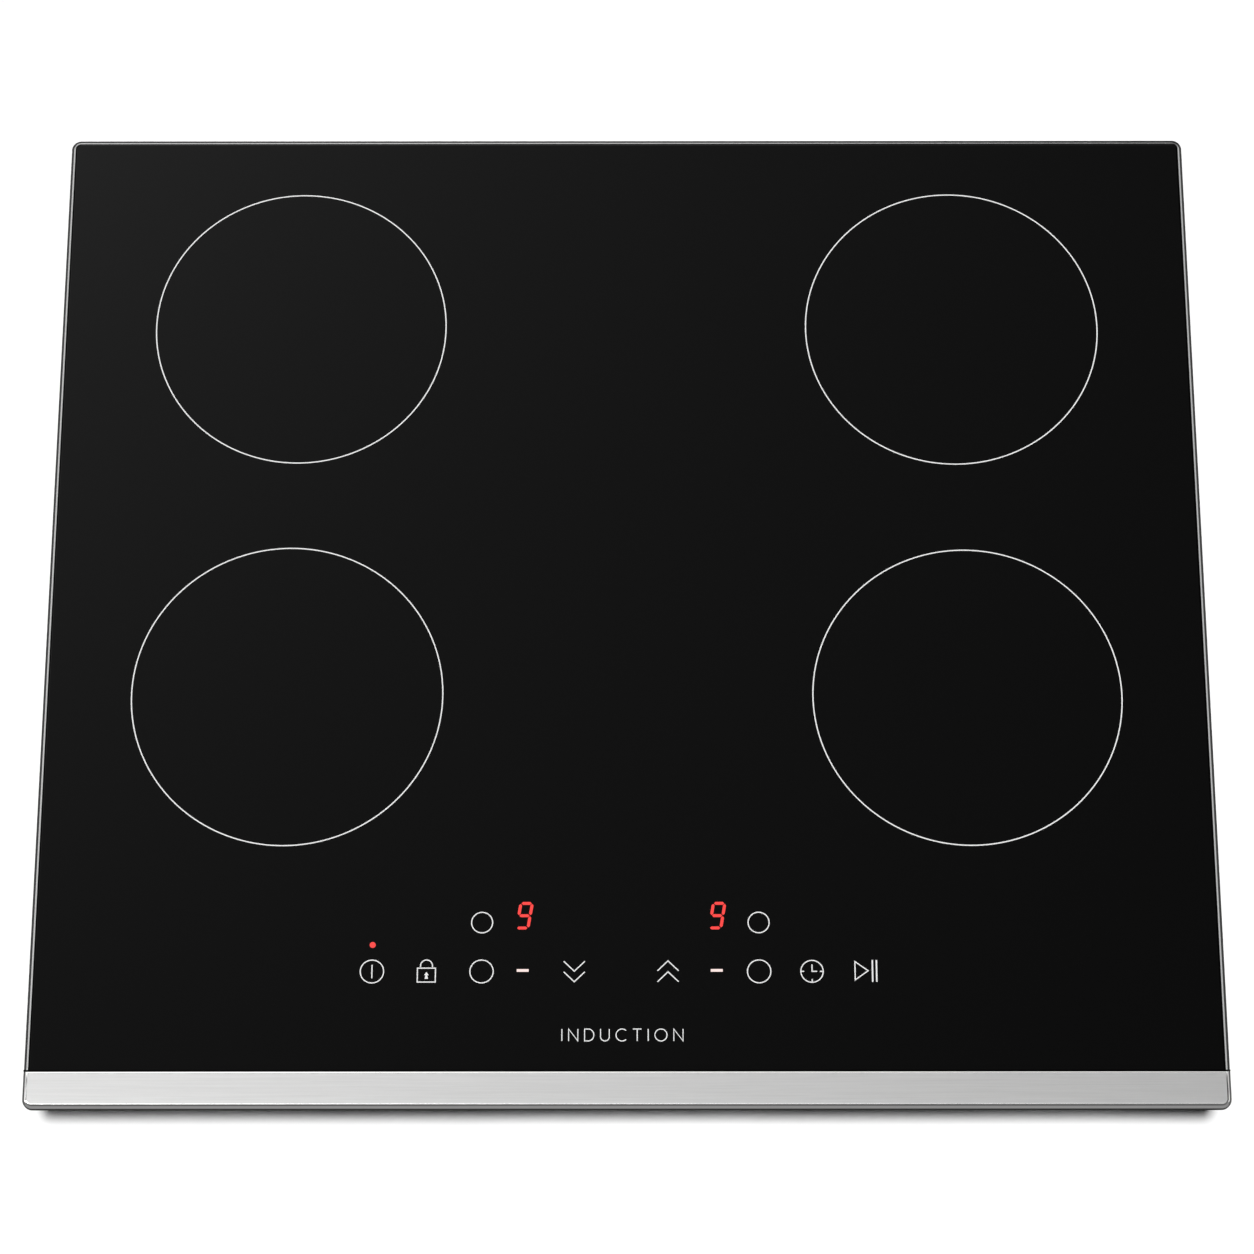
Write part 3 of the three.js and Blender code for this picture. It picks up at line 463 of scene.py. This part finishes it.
def line_sides(points, width, closed):
    """The left and right edges of a line of even width, mitred at its corners."""
    count = len(points)
    left, right = [], []
    for i, point in enumerate(points):
        here = Vector(point)
        before = Vector(points[i - 1]) if closed or i > 0 else None
        after = Vector(points[(i + 1) % count]) if closed or i < count - 1 else None
        arriving = (here - before).normalized() if before else (after - here).normalized()
        leaving = (after - here).normalized() if after else arriving
        along = (arriving + leaving).normalized()
        across = Vector((-along.y, along.x))
        reach = width / 2 / max(along.dot(arriving), 0.45)
        left.append(here + across * reach)
        right.append(here - across * reach)
    return left, right


def add_line(work, points, width, low, high, closed=False):
    """A raised line through the points."""
    left, right = line_sides(points, width, closed)
    rows = []
    for one, other in zip(left, right):
        corners = ((one, low), (other, low), (other, high), (one, high))
        rows.append([work.verts.new((mm(p.x), mm(p.y), z)) for p, z in corners])
    last = len(rows) if closed else len(rows) - 1
    for i in range(last):
        here, after = rows[i], rows[(i + 1) % len(rows)]
        for side in range(4):
            other = (side + 1) % 4
            work.faces.new((here[side], here[other], after[other], after[side]))
    if not closed:
        work.faces.new(rows[0][::-1])
        work.faces.new(rows[-1])


def arc(x, y, radius, start, stop, steps, squeeze=1.0):
    """Points on an arc, with angles in degrees; squeeze narrows it along X."""
    points = []
    for step in range(steps + 1):
        angle = math.radians(start + (stop - start) * step / steps)
        points.append((x + radius * squeeze * math.cos(angle), y + radius * math.sin(angle)))
    return points


def circle(x, y, radius, steps=96):
    return arc(x, y, radius, 0, 360, steps)[:-1]


# ---------------------------------------------------------------- glass


def plate_outline(low, high, inset):
    """The glass's outline at an inset, in metres: a straight front edge and round back corners."""
    steps = 24
    radius = mm(GLASS_CORNER) - inset
    left, right, back = low.x + inset, high.x - inset, high.y - inset
    points = [(left, low.y), (right, low.y)]
    for middle, start in ((right - radius, 0), (left + radius, 90)):
        for step in range(steps + 1):
            angle = math.radians(start + 90 * step / steps)
            points.append((middle + radius * math.cos(angle), back - radius + radius * math.sin(angle)))
    return points


def make_glass():
    """The glass plate with its ground edge and a matt black band of painted shade; gives the level of
    its polished face.
    """
    low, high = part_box("glass_ceramic_plate")
    levels = [(mm(GLASS_ARRIS), low.z), (0, low.z + mm(GLASS_ARRIS))]
    levels += [(mm(inset), high.z - mm(drop)) for inset, drop in reversed(EDGE_STEPS)]
    work = bmesh.new()
    rings = []
    for inset, z in levels:
        rings.append([work.verts.new((x, y, z)) for x, y in plate_outline(low, high, inset)])
    # Of the edge's three slopes the middle one is ground bright, and the inner one is matt black that
    # hardly reflects: painted shade.
    ground_band = len(levels) - 4
    finish_of_band = {ground_band: 1, ground_band + 1: 2}
    for band in range(len(rings) - 1):
        lower, upper = rings[band], rings[band + 1]
        for i in range(len(lower)):
            after = (i + 1) % len(lower)
            face = work.faces.new((lower[i], lower[after], upper[after], upper[i]))
            is_front = i == 0
            face.material_index = 0 if is_front else finish_of_band.get(band, 0)
    work.faces.new(rings[0][::-1])
    work.faces.new(rings[-1])
    finishes = (SURFACES["black_glass"], ground_edge, joint_black_and_painted_shade)
    made = mesh_piece("glass_surface", work, *finishes, sharp_above=5)
    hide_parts("glass_ceramic_plate")
    return high.z


glass_top = make_glass()
print_low = glass_top - mm(PRINT["sunk"])
print_high = glass_top + mm(PRINT["height"])


# ---------------------------------------------------------------- trim and joint


def hollowed(piece, low, high):
    """Cuts a box out of a piece, and gives the large flat faces the say over the shading."""
    bpy.ops.mesh.primitive_cube_add(size=1, location=(low + high) / 2, scale=high - low)
    tool = bpy.context.object
    cut = piece.modifiers.new("cut", "BOOLEAN")
    cut.object = tool
    cut.solver = "EXACT"
    shaped = bpy.data.meshes.new_from_object(piece.evaluated_get(bpy.context.evaluated_depsgraph_get()))
    piece.modifiers.remove(cut)
    bpy.data.objects.remove(tool)
    piece.data = shaped
    shaped.set_sharp_from_angle(angle=math.radians(40))
    flat = piece.modifiers.new("flat", "WEIGHTED_NORMAL")
    flat.keep_sharp = True


def trim_outline(low, high, nose, end, rear):
    """The trim's outline where its nose, ends and rear edge have turned in by the given insets."""
    corner = mm(TRIM["corner"])
    points = [(high.x - end, high.y - rear), (low.x + end, high.y - rear)]
    steps = 16
    for middle, start in ((low.x + corner, 180), (high.x - corner, 270)):
        for step in range(steps + 1):
            angle = math.radians(start + 90 * step / steps)
            x = middle + (corner - end) * math.cos(angle)
            points.append((x, low.y + corner + (corner - nose) * math.sin(angle)))
    return points


def make_trim():
    """The trim as a folded sheet, open below and behind; gives the place of its rear edge."""
    low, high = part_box("front_trim")
    nose, end, rear, gap = (mm(TRIM[key]) for key in ("nose", "end", "rear", "rear_gap"))
    work = bmesh.new()
    rings = [[work.verts.new((x, y, low.z)) for x, y in trim_outline(low, high, 0, 0, gap)]]
    for step in range(TRIM["steps"] + 1):
        angle = math.radians(90 * step / TRIM["steps"])
        z = high.z - nose * (1 - math.sin(angle))
        turned_in = 1 - math.cos(angle)
        climbed = max(0, 1 - (high.z - z) / rear)
        rear_inset = gap + rear * (1 - math.sqrt(1 - climbed**2))
        outline = trim_outline(low, high, nose * turned_in, end * turned_in, rear_inset)
        rings.append([work.verts.new((x, y, z)) for x, y in outline])
    for lower, upper in zip(rings, rings[1:]):
        for i in range(len(lower)):
            after = (i + 1) % len(lower)
            work.faces.new((lower[i], lower[after], upper[after], upper[i]))
    work.faces.new(rings[0][::-1])
    work.faces.new(rings[-1])
    made = mesh_piece("trim_surface", work, SURFACES["brushed_trim"])
    sheet = mm(TRIM["sheet"])
    inside_low = Vector((low.x + sheet + end / 2, low.y + sheet + nose / 2, low.z - sheet))
    inside_high = Vector((high.x - sheet - end / 2, high.y + sheet, high.z - sheet))
    hollowed(made, inside_low, inside_high)
    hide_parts("front_trim")
    return high.y - gap


def make_joint(trim_rear):
    """Black sealant between the trim and the glass, a little below both."""
    low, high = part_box("glass_ceramic_plate")
    half, front, back = 1000 * high.x, 1000 * trim_rear, 1000 * low.y
    work = bmesh.new()
    outline = [(-half, front), (half, front), (half, back), (-half, back)]
    add_prism(work, outline, low.z, high.z - mm(JOINT_SUNK))
    made = mesh_piece("glass_joint", work, joint_black_and_painted_shade)


make_joint(make_trim())


# ---------------------------------------------------------------- printed marks


def printed(name, lines=(), loops=(), fills=(), width=PRINT["icon_line"], finish=white_print):
    """One printed mark: open lines, closed loops and filled shapes."""
    work = bmesh.new()
    for points in lines:
        add_line(work, points, width, print_low, print_high)
    for points in loops:
        add_line(work, points, width, print_low, print_high, closed=True)
    for outline in fills:
        add_prism(work, outline, print_low, print_high)
    return mesh_piece(name, work, finish)


def chevrons(x, tops, drop):
    """Arrowheads with their open ends at the given tops, pointing up, or down where drop is negative."""
    half = 5.2
    return [[(x - half, top), (x, top + drop), (x + half, top)] for top in tops]


def make_icons():
    row = LOWER_ROW
    x = KEY_X["power"]
    printed("print_power", lines=[[(x, row + 3.4), (x, row - 3.4)]], loops=[circle(x, row, KEY_RADIUS)])

    x = KEY_X["lock"]
    body = [(x - 4.45, row + 1.7), (x - 4.45, row - 5.3), (x + 4.45, row - 5.3), (x + 4.45, row + 1.7)]
    shackle_radius = 2.95
    shackle = [(x + shackle_radius, row + 2.2)]
    shackle += arc(x, row + 2.85, shackle_radius, 0, 180, 20)
    shackle += [(x - shackle_radius, row + 2.2)]
    keyhole = [
        (x, row - 0.2),
        (x - 1.15, row - 1.9),
        (x - 0.42, row - 1.9),
        (x - 0.85, row - 3.7),
        (x + 0.85, row - 3.7),
        (x + 0.42, row - 1.9),
        (x + 1.15, row - 1.9),
    ]
    printed("print_lock", lines=[shackle], loops=[body], fills=[keyhole])

    for side in ("left", "right"):
        x = KEY_X["front_" + side]
        printed("print_key_front_" + side, loops=[circle(x, row, KEY_RADIUS)])
        printed("print_key_back_" + side, loops=[circle(x, UPPER_ROW, SMALL_KEY_RADIUS)])

    down = chevrons(KEY_X["less"], (row + 5.1, row - 0.2), -5.0)
    up = chevrons(KEY_X["more"], (row + 0.3, row - 5.2), 5.0)
    printed("print_less", lines=down)
    printed("print_more", lines=up)

    x = KEY_X["timer"]
    hands = [(x, row + 3.5), (x, row), (x + 2.5, row)]
    inner, outer = 3.9, 5.2
    ticks = []
    for right, up in ((-1, 0), (1, 0), (0, -1)):
        ticks.append([(x + right * outer, row + up * outer), (x + right * inner, row + up * inner)])
    printed("print_timer", lines=[hands, *ticks], loops=[circle(x, row, 5.5)])

    x = KEY_X["pause"]
    triangle = [(x - 4.85, row + 4.9), (x - 4.85, row - 4.3), (x + 1.6, row + 0.3)]
    bars = [[(x + shift, row + 5.7), (x + shift, row - 5.3)] for shift in (3.75, 5.75)]
    printed("print_start", loops=[triangle])
    printed("print_pause", lines=bars, width=PRINT["bar"])


# ---------------------------------------------------------------- displays


def segment(start, stop, thickness, gap):
    """A bar with pointed ends, pulled back a little from both corners."""
    start, stop = Vector(start), Vector(stop)
    along = (stop - start).normalized()
    across = Vector((-along.y, along.x)) * thickness / 2
    first = start + along * gap
    last = stop - along * gap
    shoulder = along * thickness / 2
    return [
        first,
        first + shoulder - across,
        last - shoulder - across,
        last,
        last - shoulder + across,
        first + shoulder + across,
    ]


def digit_nine(left):
    """The segments of an italic nine, from the outer top left corner."""
    half = DIGIT["thickness"] / 2
    top = DIGIT["top"] - half
    rows = {"top": 0, "middle": 0.5, "bottom": 1}
    span = DIGIT["height"] - DIGIT["thickness"]

    def corner(side, row):
        down = rows[row]
        x = left + half + side * (DIGIT["width"] - DIGIT["thickness"]) - down * DIGIT["lean"]
        return (x, top - down * span)

    lit = (
        (corner(0, "top"), corner(1, "top")),
        (corner(0, "top"), corner(0, "middle")),
        (corner(1, "top"), corner(1, "middle")),
        (corner(0, "middle"), corner(1, "middle")),
        (corner(1, "middle"), corner(1, "bottom")),
        (corner(0, "bottom"), corner(1, "bottom")),
    )
    return [segment(start, stop, DIGIT["thickness"], DIGIT["gap"]) for start, stop in lit]


def make_displays():
    for side, left in DIGIT_LEFT.items():
        lit = printed("digit_" + side, fills=digit_nine(left), finish=red_light)
    for side, x in DASH_X.items():
        half, thick = DASH["length"] / 2, DASH["thickness"] / 2
        y = DASH["y"]
        lower = [(x - half, y - thick), (x + half, y - thick)]
        upper = [(x + half, y + thick), (x - half, y + thick)]
        lit = printed("dash_" + side, fills=[lower + upper], finish=pale_light)
    disc = circle(LAMP["x"], LAMP["y"], LAMP["radius"], 32)
    lamp = printed("power_lamp", fills=[disc], finish=red_light)


# ---------------------------------------------------------------- lettering

# Each letter in a box one unit high: its width, its open lines and its closed loops.
LETTERS = {
    "I": (0.0, [[(0, 0), (0, 1)]], []),
    "N": (0.76, [[(0, 0), (0, 1), (0.76, 0), (0.76, 1)]], []),
    "D": (0.76, [], [[(0, 0), (0.3, 0), *arc(0.3, 0.5, 0.5, -80, 80, 14, 0.92), (0.3, 1), (0, 1)]]),
    "U": (0.72, [[(0, 1), *arc(0.36, 0.36, 0.36, 180, 360, 14), (0.72, 1)]], []),
    "C": (0.84, [arc(0.5, 0.5, 0.5, 48, 312, 24)], []),
    "T": (0.7, [[(0, 1), (0.7, 1)], [(0.35, 0.95), (0.35, 0)]], []),
    "O": (1.0, [], [arc(0.5, 0.5, 0.5, 0, 360, 36)[:-1]]),
}


def make_word():
    """The plain name of what the hob does, in spaced thin capitals."""
    height = WORD["height"]
    widths = [LETTERS[letter][0] * height for letter in WORD["text"]]
    total = sum(widths) + WORD["spacing"] * (len(widths) - 1)
    x = WORD["x"] - total / 2
    lines, loops = [], []

    def placed(points):
        return [(x + px * height, WORD["y"] + py * height) for px, py in points]

    for letter, width in zip(WORD["text"], widths):
        lines += [placed(points) for points in LETTERS[letter][1]]
        loops += [placed(points) for points in LETTERS[letter][2]]
        x += width + WORD["spacing"]
    printed("print_word", lines=lines, loops=loops, width=PRINT["letter_line"])


for zone, (zone_x, zone_y, zone_radius) in ZONE_RINGS.items():
    ring = circle(zone_x, zone_y, zone_radius, 192)
    printed("print_zone_" + zone, loops=[ring], width=PRINT["zone_line"])
make_icons()
make_displays()
make_word()


# ---------------------------------------------------------------- casing details


def raised_bead(name, size, centre, along, across, body, slot):
    """A round-ended bead standing on a flat wall, from its middle and its two directions in the wall."""
    outward = along.cross(across)
    straight = size["half_length"] - size["half_width"]
    rise = size["rise"]
    work = bmesh.new()
    rings = []
    for inset, lift in ((0, -RIM_SUNK), (0, RIM_SUNK), (rise, rise * 0.9), (rise * 1.6, rise)):
        radius = size["half_width"] - inset
        points = arc(straight, 0, radius, -90, 90, 12) + arc(-straight, 0, radius, 90, 270, 12)
        places = [centre + along * mm(u) + across * mm(v) + outward * mm(lift) for u, v in points]
        rings.append([work.verts.new(place) for place in places])
    for lower, upper in zip(rings, rings[1:]):
        for i in range(len(lower)):
            after = (i + 1) % len(lower)
            work.faces.new((lower[i], lower[after], upper[after], upper[i]))
    work.faces.new(rings[0][::-1])
    work.faces.new(rings[-1])
    made = mesh_piece(name, work, SURFACES[slot])
    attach(made, body)


def make_casing_details():
    """Pressed beads stiffen the pan's side walls, and moulded ribs stiffen the terminal cover."""
    forward, right, up = Vector((0, 1, 0)), Vector((1, 0, 0)), Vector((0, 0, 1))
    low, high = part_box("base_pan")
    for i, level in enumerate(BEAD["levels"]):
        for side, wall, along in (("left", low.x, -forward), ("right", high.x, forward)):
            middle = Vector((wall, 0, mm(level)))
            raised_bead(f"pan_bead_{side}_{i}", BEAD, middle, along, up, "root", "galvanised_sheet")
    for i in range(RIB["count"]):
        x = (i - (RIB["count"] - 1) / 2) * RIB["pitch"]
        middle = Vector((mm(x), mm(COVER_FACE), mm(RIB["level"])))
        raised_bead(f"cover_rib_{i}", RIB, middle, up, right, "terminal_cover", "black_plastic")


make_casing_details()


# ---------------------------------------------------------------- finishes of the CAD nodes


def dress_nodes():
    """Gives every CAD node the finish of its slot."""
    for part in frame["record"]["subparts"]:
        node = frame["nodes"][part["node"]]
        finish = SURFACES.get(part["material_slot"])
        if part["material_slot"] == "copper_winding":
            low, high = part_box(part["node"])
            finish = copper_winding((low + high) / 2)
        node.material_slots[0].material = finish


def soften(name, width):
    """Rounds a node's sharp edges by a small width."""
    node = frame["nodes"][name]
    weld = node.modifiers.new("weld", "WELD")
    weld.merge_threshold = mm(0.002)
    bevel = node.modifiers.new("bevel", "BEVEL")
    bevel.width = mm(width)
    bevel.segments = 2
    bevel.limit_method = "ANGLE"
    bevel.angle_limit = math.radians(35)
    bevel.harden_normals = True


dress_nodes()
for node_name, edge_width in SOFT_EDGES.items():
    soften(node_name, edge_width)


# ---------------------------------------------------------------- stage


def make_floor():
    """White ground, many metres wide, so that no view sees its edge."""
    mesh = bpy.data.meshes.new("floor")
    half = 12
    corners = [(-half, -half, 0), (half, -half, 0), (half, half, 0), (-half, half, 0)]
    mesh.from_pydata(corners, [], [(0, 1, 2, 3)])
    mesh.materials.append(
        surface("floor_finish", grey(0.90), grey(0.92), (0.8, 0.9), grain=4, bump=0.0)
    )
    floor = bpy.data.objects.new("floor", mesh)
    bpy.context.scene.collection.objects.link(floor)
    floor.visible_glossy = False
    return floor


def make_sun():
    lamp = bpy.data.lights.new("key", "SUN")
    lamp.energy = KEY_LAMP["energy"]
    lamp.angle = math.radians(KEY_LAMP["size"])
    sun = bpy.data.objects.new("key", lamp)
    sun.rotation_euler = (math.radians(KEY_LAMP["tilt"]), 0, 0)
    sun.visible_glossy = False
    bpy.context.scene.collection.objects.link(sun)


def make_fills(floor):
    """Low lights from four sides that show the casing, and that leave the floor's shadow alone."""
    unfilled = bpy.data.collections.new("not_filled")
    unfilled.objects.link(floor)
    unfilled.collection_objects[0].light_linking.link_state = "EXCLUDE"
    for name, heading, energy in FILLS:
        lamp = bpy.data.lights.new("fill_" + name, "SUN")
        lamp.energy = energy
        lamp.angle = math.radians(FILL_LAMP["size"])
        fill = bpy.data.objects.new("fill_" + name, lamp)
        fill.rotation_euler = (math.radians(FILL_LAMP["tilt"]), 0, math.radians(heading))
        fill.visible_glossy = False
        fill.light_linking.receiver_collection = unfilled
        bpy.context.scene.collection.objects.link(fill)


def make_world():
    """A studio that reflections see, brighter at the left than at the right; the camera sees white."""
    world = bpy.data.worlds.new("studio")
    bpy.context.scene.world = world
    world.use_nodes = True
    tree = world.node_tree
    background = tree.nodes["Background"]

    def feed(sockets, values):
        for socket, value in zip(sockets, values):
            if isinstance(value, (int, float)):
                socket.default_value = value
            else:
                tree.links.new(value, socket)

    def math_node(operation, *values):
        made = add_node(tree, "ShaderNodeMath", operation=operation)
        feed(made.inputs, values)
        return made.outputs[0]

    def mixed(factor, low, high):
        made = add_node(tree, "ShaderNodeMix", data_type="FLOAT")
        feed((made.inputs[0], made.inputs[2], made.inputs[3]), (factor, low, high))
        return made.outputs[0]

    def step(value, low, high):
        settings = {"From Min": low, "From Max": high}
        made = add_node(tree, "ShaderNodeMapRange", settings, interpolation_type="SMOOTHSTEP")
        tree.links.new(value, made.inputs["Value"])
        return made.outputs["Result"]

    coordinates = add_node(tree, "ShaderNodeTexCoord")
    direction = add_node(tree, "ShaderNodeSeparateXYZ")
    tree.links.new(coordinates.outputs["Generated"], direction.inputs[0])
    dx, dy, dz = direction.outputs

    def along(stops):
        """Radiance from the stops, by how far to the right the direction points."""
        made = add_node(tree, "ShaderNodeValToRGB")
        ramp = made.color_ramp
        for i, (position, value) in enumerate(stops):
            element = ramp.elements[i] if i < 2 else ramp.elements.new(position)
            element.position = position
            element.color = (value, value, value, 1)
        tree.links.new(math_node("MULTIPLY_ADD", dx, 0.5, 0.5), made.inputs["Fac"])
        return made.outputs["Color"]

    # How far the direction leans to the right and away from the viewer, for its height.
    height = math_node("MAXIMUM", dz, 0.3)
    across = math_node("DIVIDE", dx, height)
    away = math_node("DIVIDE", dy, height)

    beyond = math_node("SUBTRACT", away, OVERHEAD["start"])
    fading = math_node("MULTIPLY_ADD", beyond, OVERHEAD["fan"], OVERHEAD["falloff"])
    sideways = math_node("MULTIPLY", across, fading)
    level = math_node("MULTIPLY_ADD", beyond, OVERHEAD["rise"], OVERHEAD["level"])
    overhead = math_node("EXPONENT", math_node("ADD", level, sideways))
    overhead = math_node("MINIMUM", overhead, OVERHEAD["limit"])

    # A long softbox above the front edge, strongest at its left end, with a dim room before it.
    fading = math_node("EXPONENT", math_node("MULTIPLY", across, -SOFTBOX["falloff"]))
    softbox = math_node("MULTIPLY", fading, SOFTBOX["strength"])
    softbox = math_node("MINIMUM", softbox, SOFTBOX["limit"])
    over_front = mixed(step(away, -0.08, -0.14), softbox, DIM_ROOM)
    above = mixed(step(away, 0.1, -0.02), overhead, over_front)

    # Far behind the hob the side light reaches higher up.
    above = mixed(step(dy, 0.5, 0.6), above, along(SIDE_LIGHT))

    # About 20 to 40 degrees up there is light at the sides and behind, and a dimmer room in front.
    sides = mixed(step(dy, -0.1, -0.3), along(SIDE_LIGHT), FRONT_ROOM)

    # Lower down the room is dim, but for a strip at the back, and it darkens towards the floor.
    below = mixed(step(dz, -0.35, -0.9), BELOW, SHADOW)
    behind = mixed(step(dy, 0.45, 0.75), DIM_ROOM, along(BACK_STRIP))
    behind = mixed(step(dz, -0.12, 0.02), below, behind)
    in_front = mixed(step(dz, -0.55, -0.15), below, FRONT_ROOM)
    low = mixed(step(dy, -0.3, -0.6), behind, in_front)

    lower = mixed(step(dz, 0.24, 0.36), low, sides)
    light = mixed(step(dz, 0.6, 0.74), lower, above)
    path = add_node(tree, "ShaderNodeLightPath")
    soft = mixed(path.outputs["Is Diffuse Ray"], light, math_node("MULTIPLY", light, DIFFUSE_SHARE))
    seen = mixed(path.outputs["Is Camera Ray"], soft, 1.0)
    tree.links.new(seen, background.inputs["Strength"])
    background.inputs["Color"].default_value = (1, 1, 1, 1)


def make_camera():
    tilt, yaw, roll = (math.radians(CAMERA[key]) for key in ("tilt", "yaw", "roll"))
    forward = Vector((math.sin(yaw) * math.cos(tilt), math.cos(yaw) * math.cos(tilt), -math.sin(tilt)))
    level_right = Vector((math.cos(yaw), -math.sin(yaw), 0))
    level_up = level_right.cross(forward)
    right = level_right * math.cos(roll) + level_up * math.sin(roll)
    up = level_up * math.cos(roll) - level_right * math.sin(roll)
    lens = bpy.data.cameras.new("camera")
    lens.lens = CAMERA["lens"]
    lens.sensor_width = CAMERA["sensor"]
    camera = bpy.data.objects.new("camera", lens)
    turn = Matrix((right, up, -forward)).transposed()
    camera.matrix_world = Matrix.Translation(CAMERA["place"]) @ turn.to_4x4()
    bpy.context.scene.collection.objects.link(camera)
    bpy.context.scene.camera = camera


make_fills(make_floor())
make_sun()
make_world()
make_camera()
bpy.context.scene.view_settings.view_transform = "Standard"
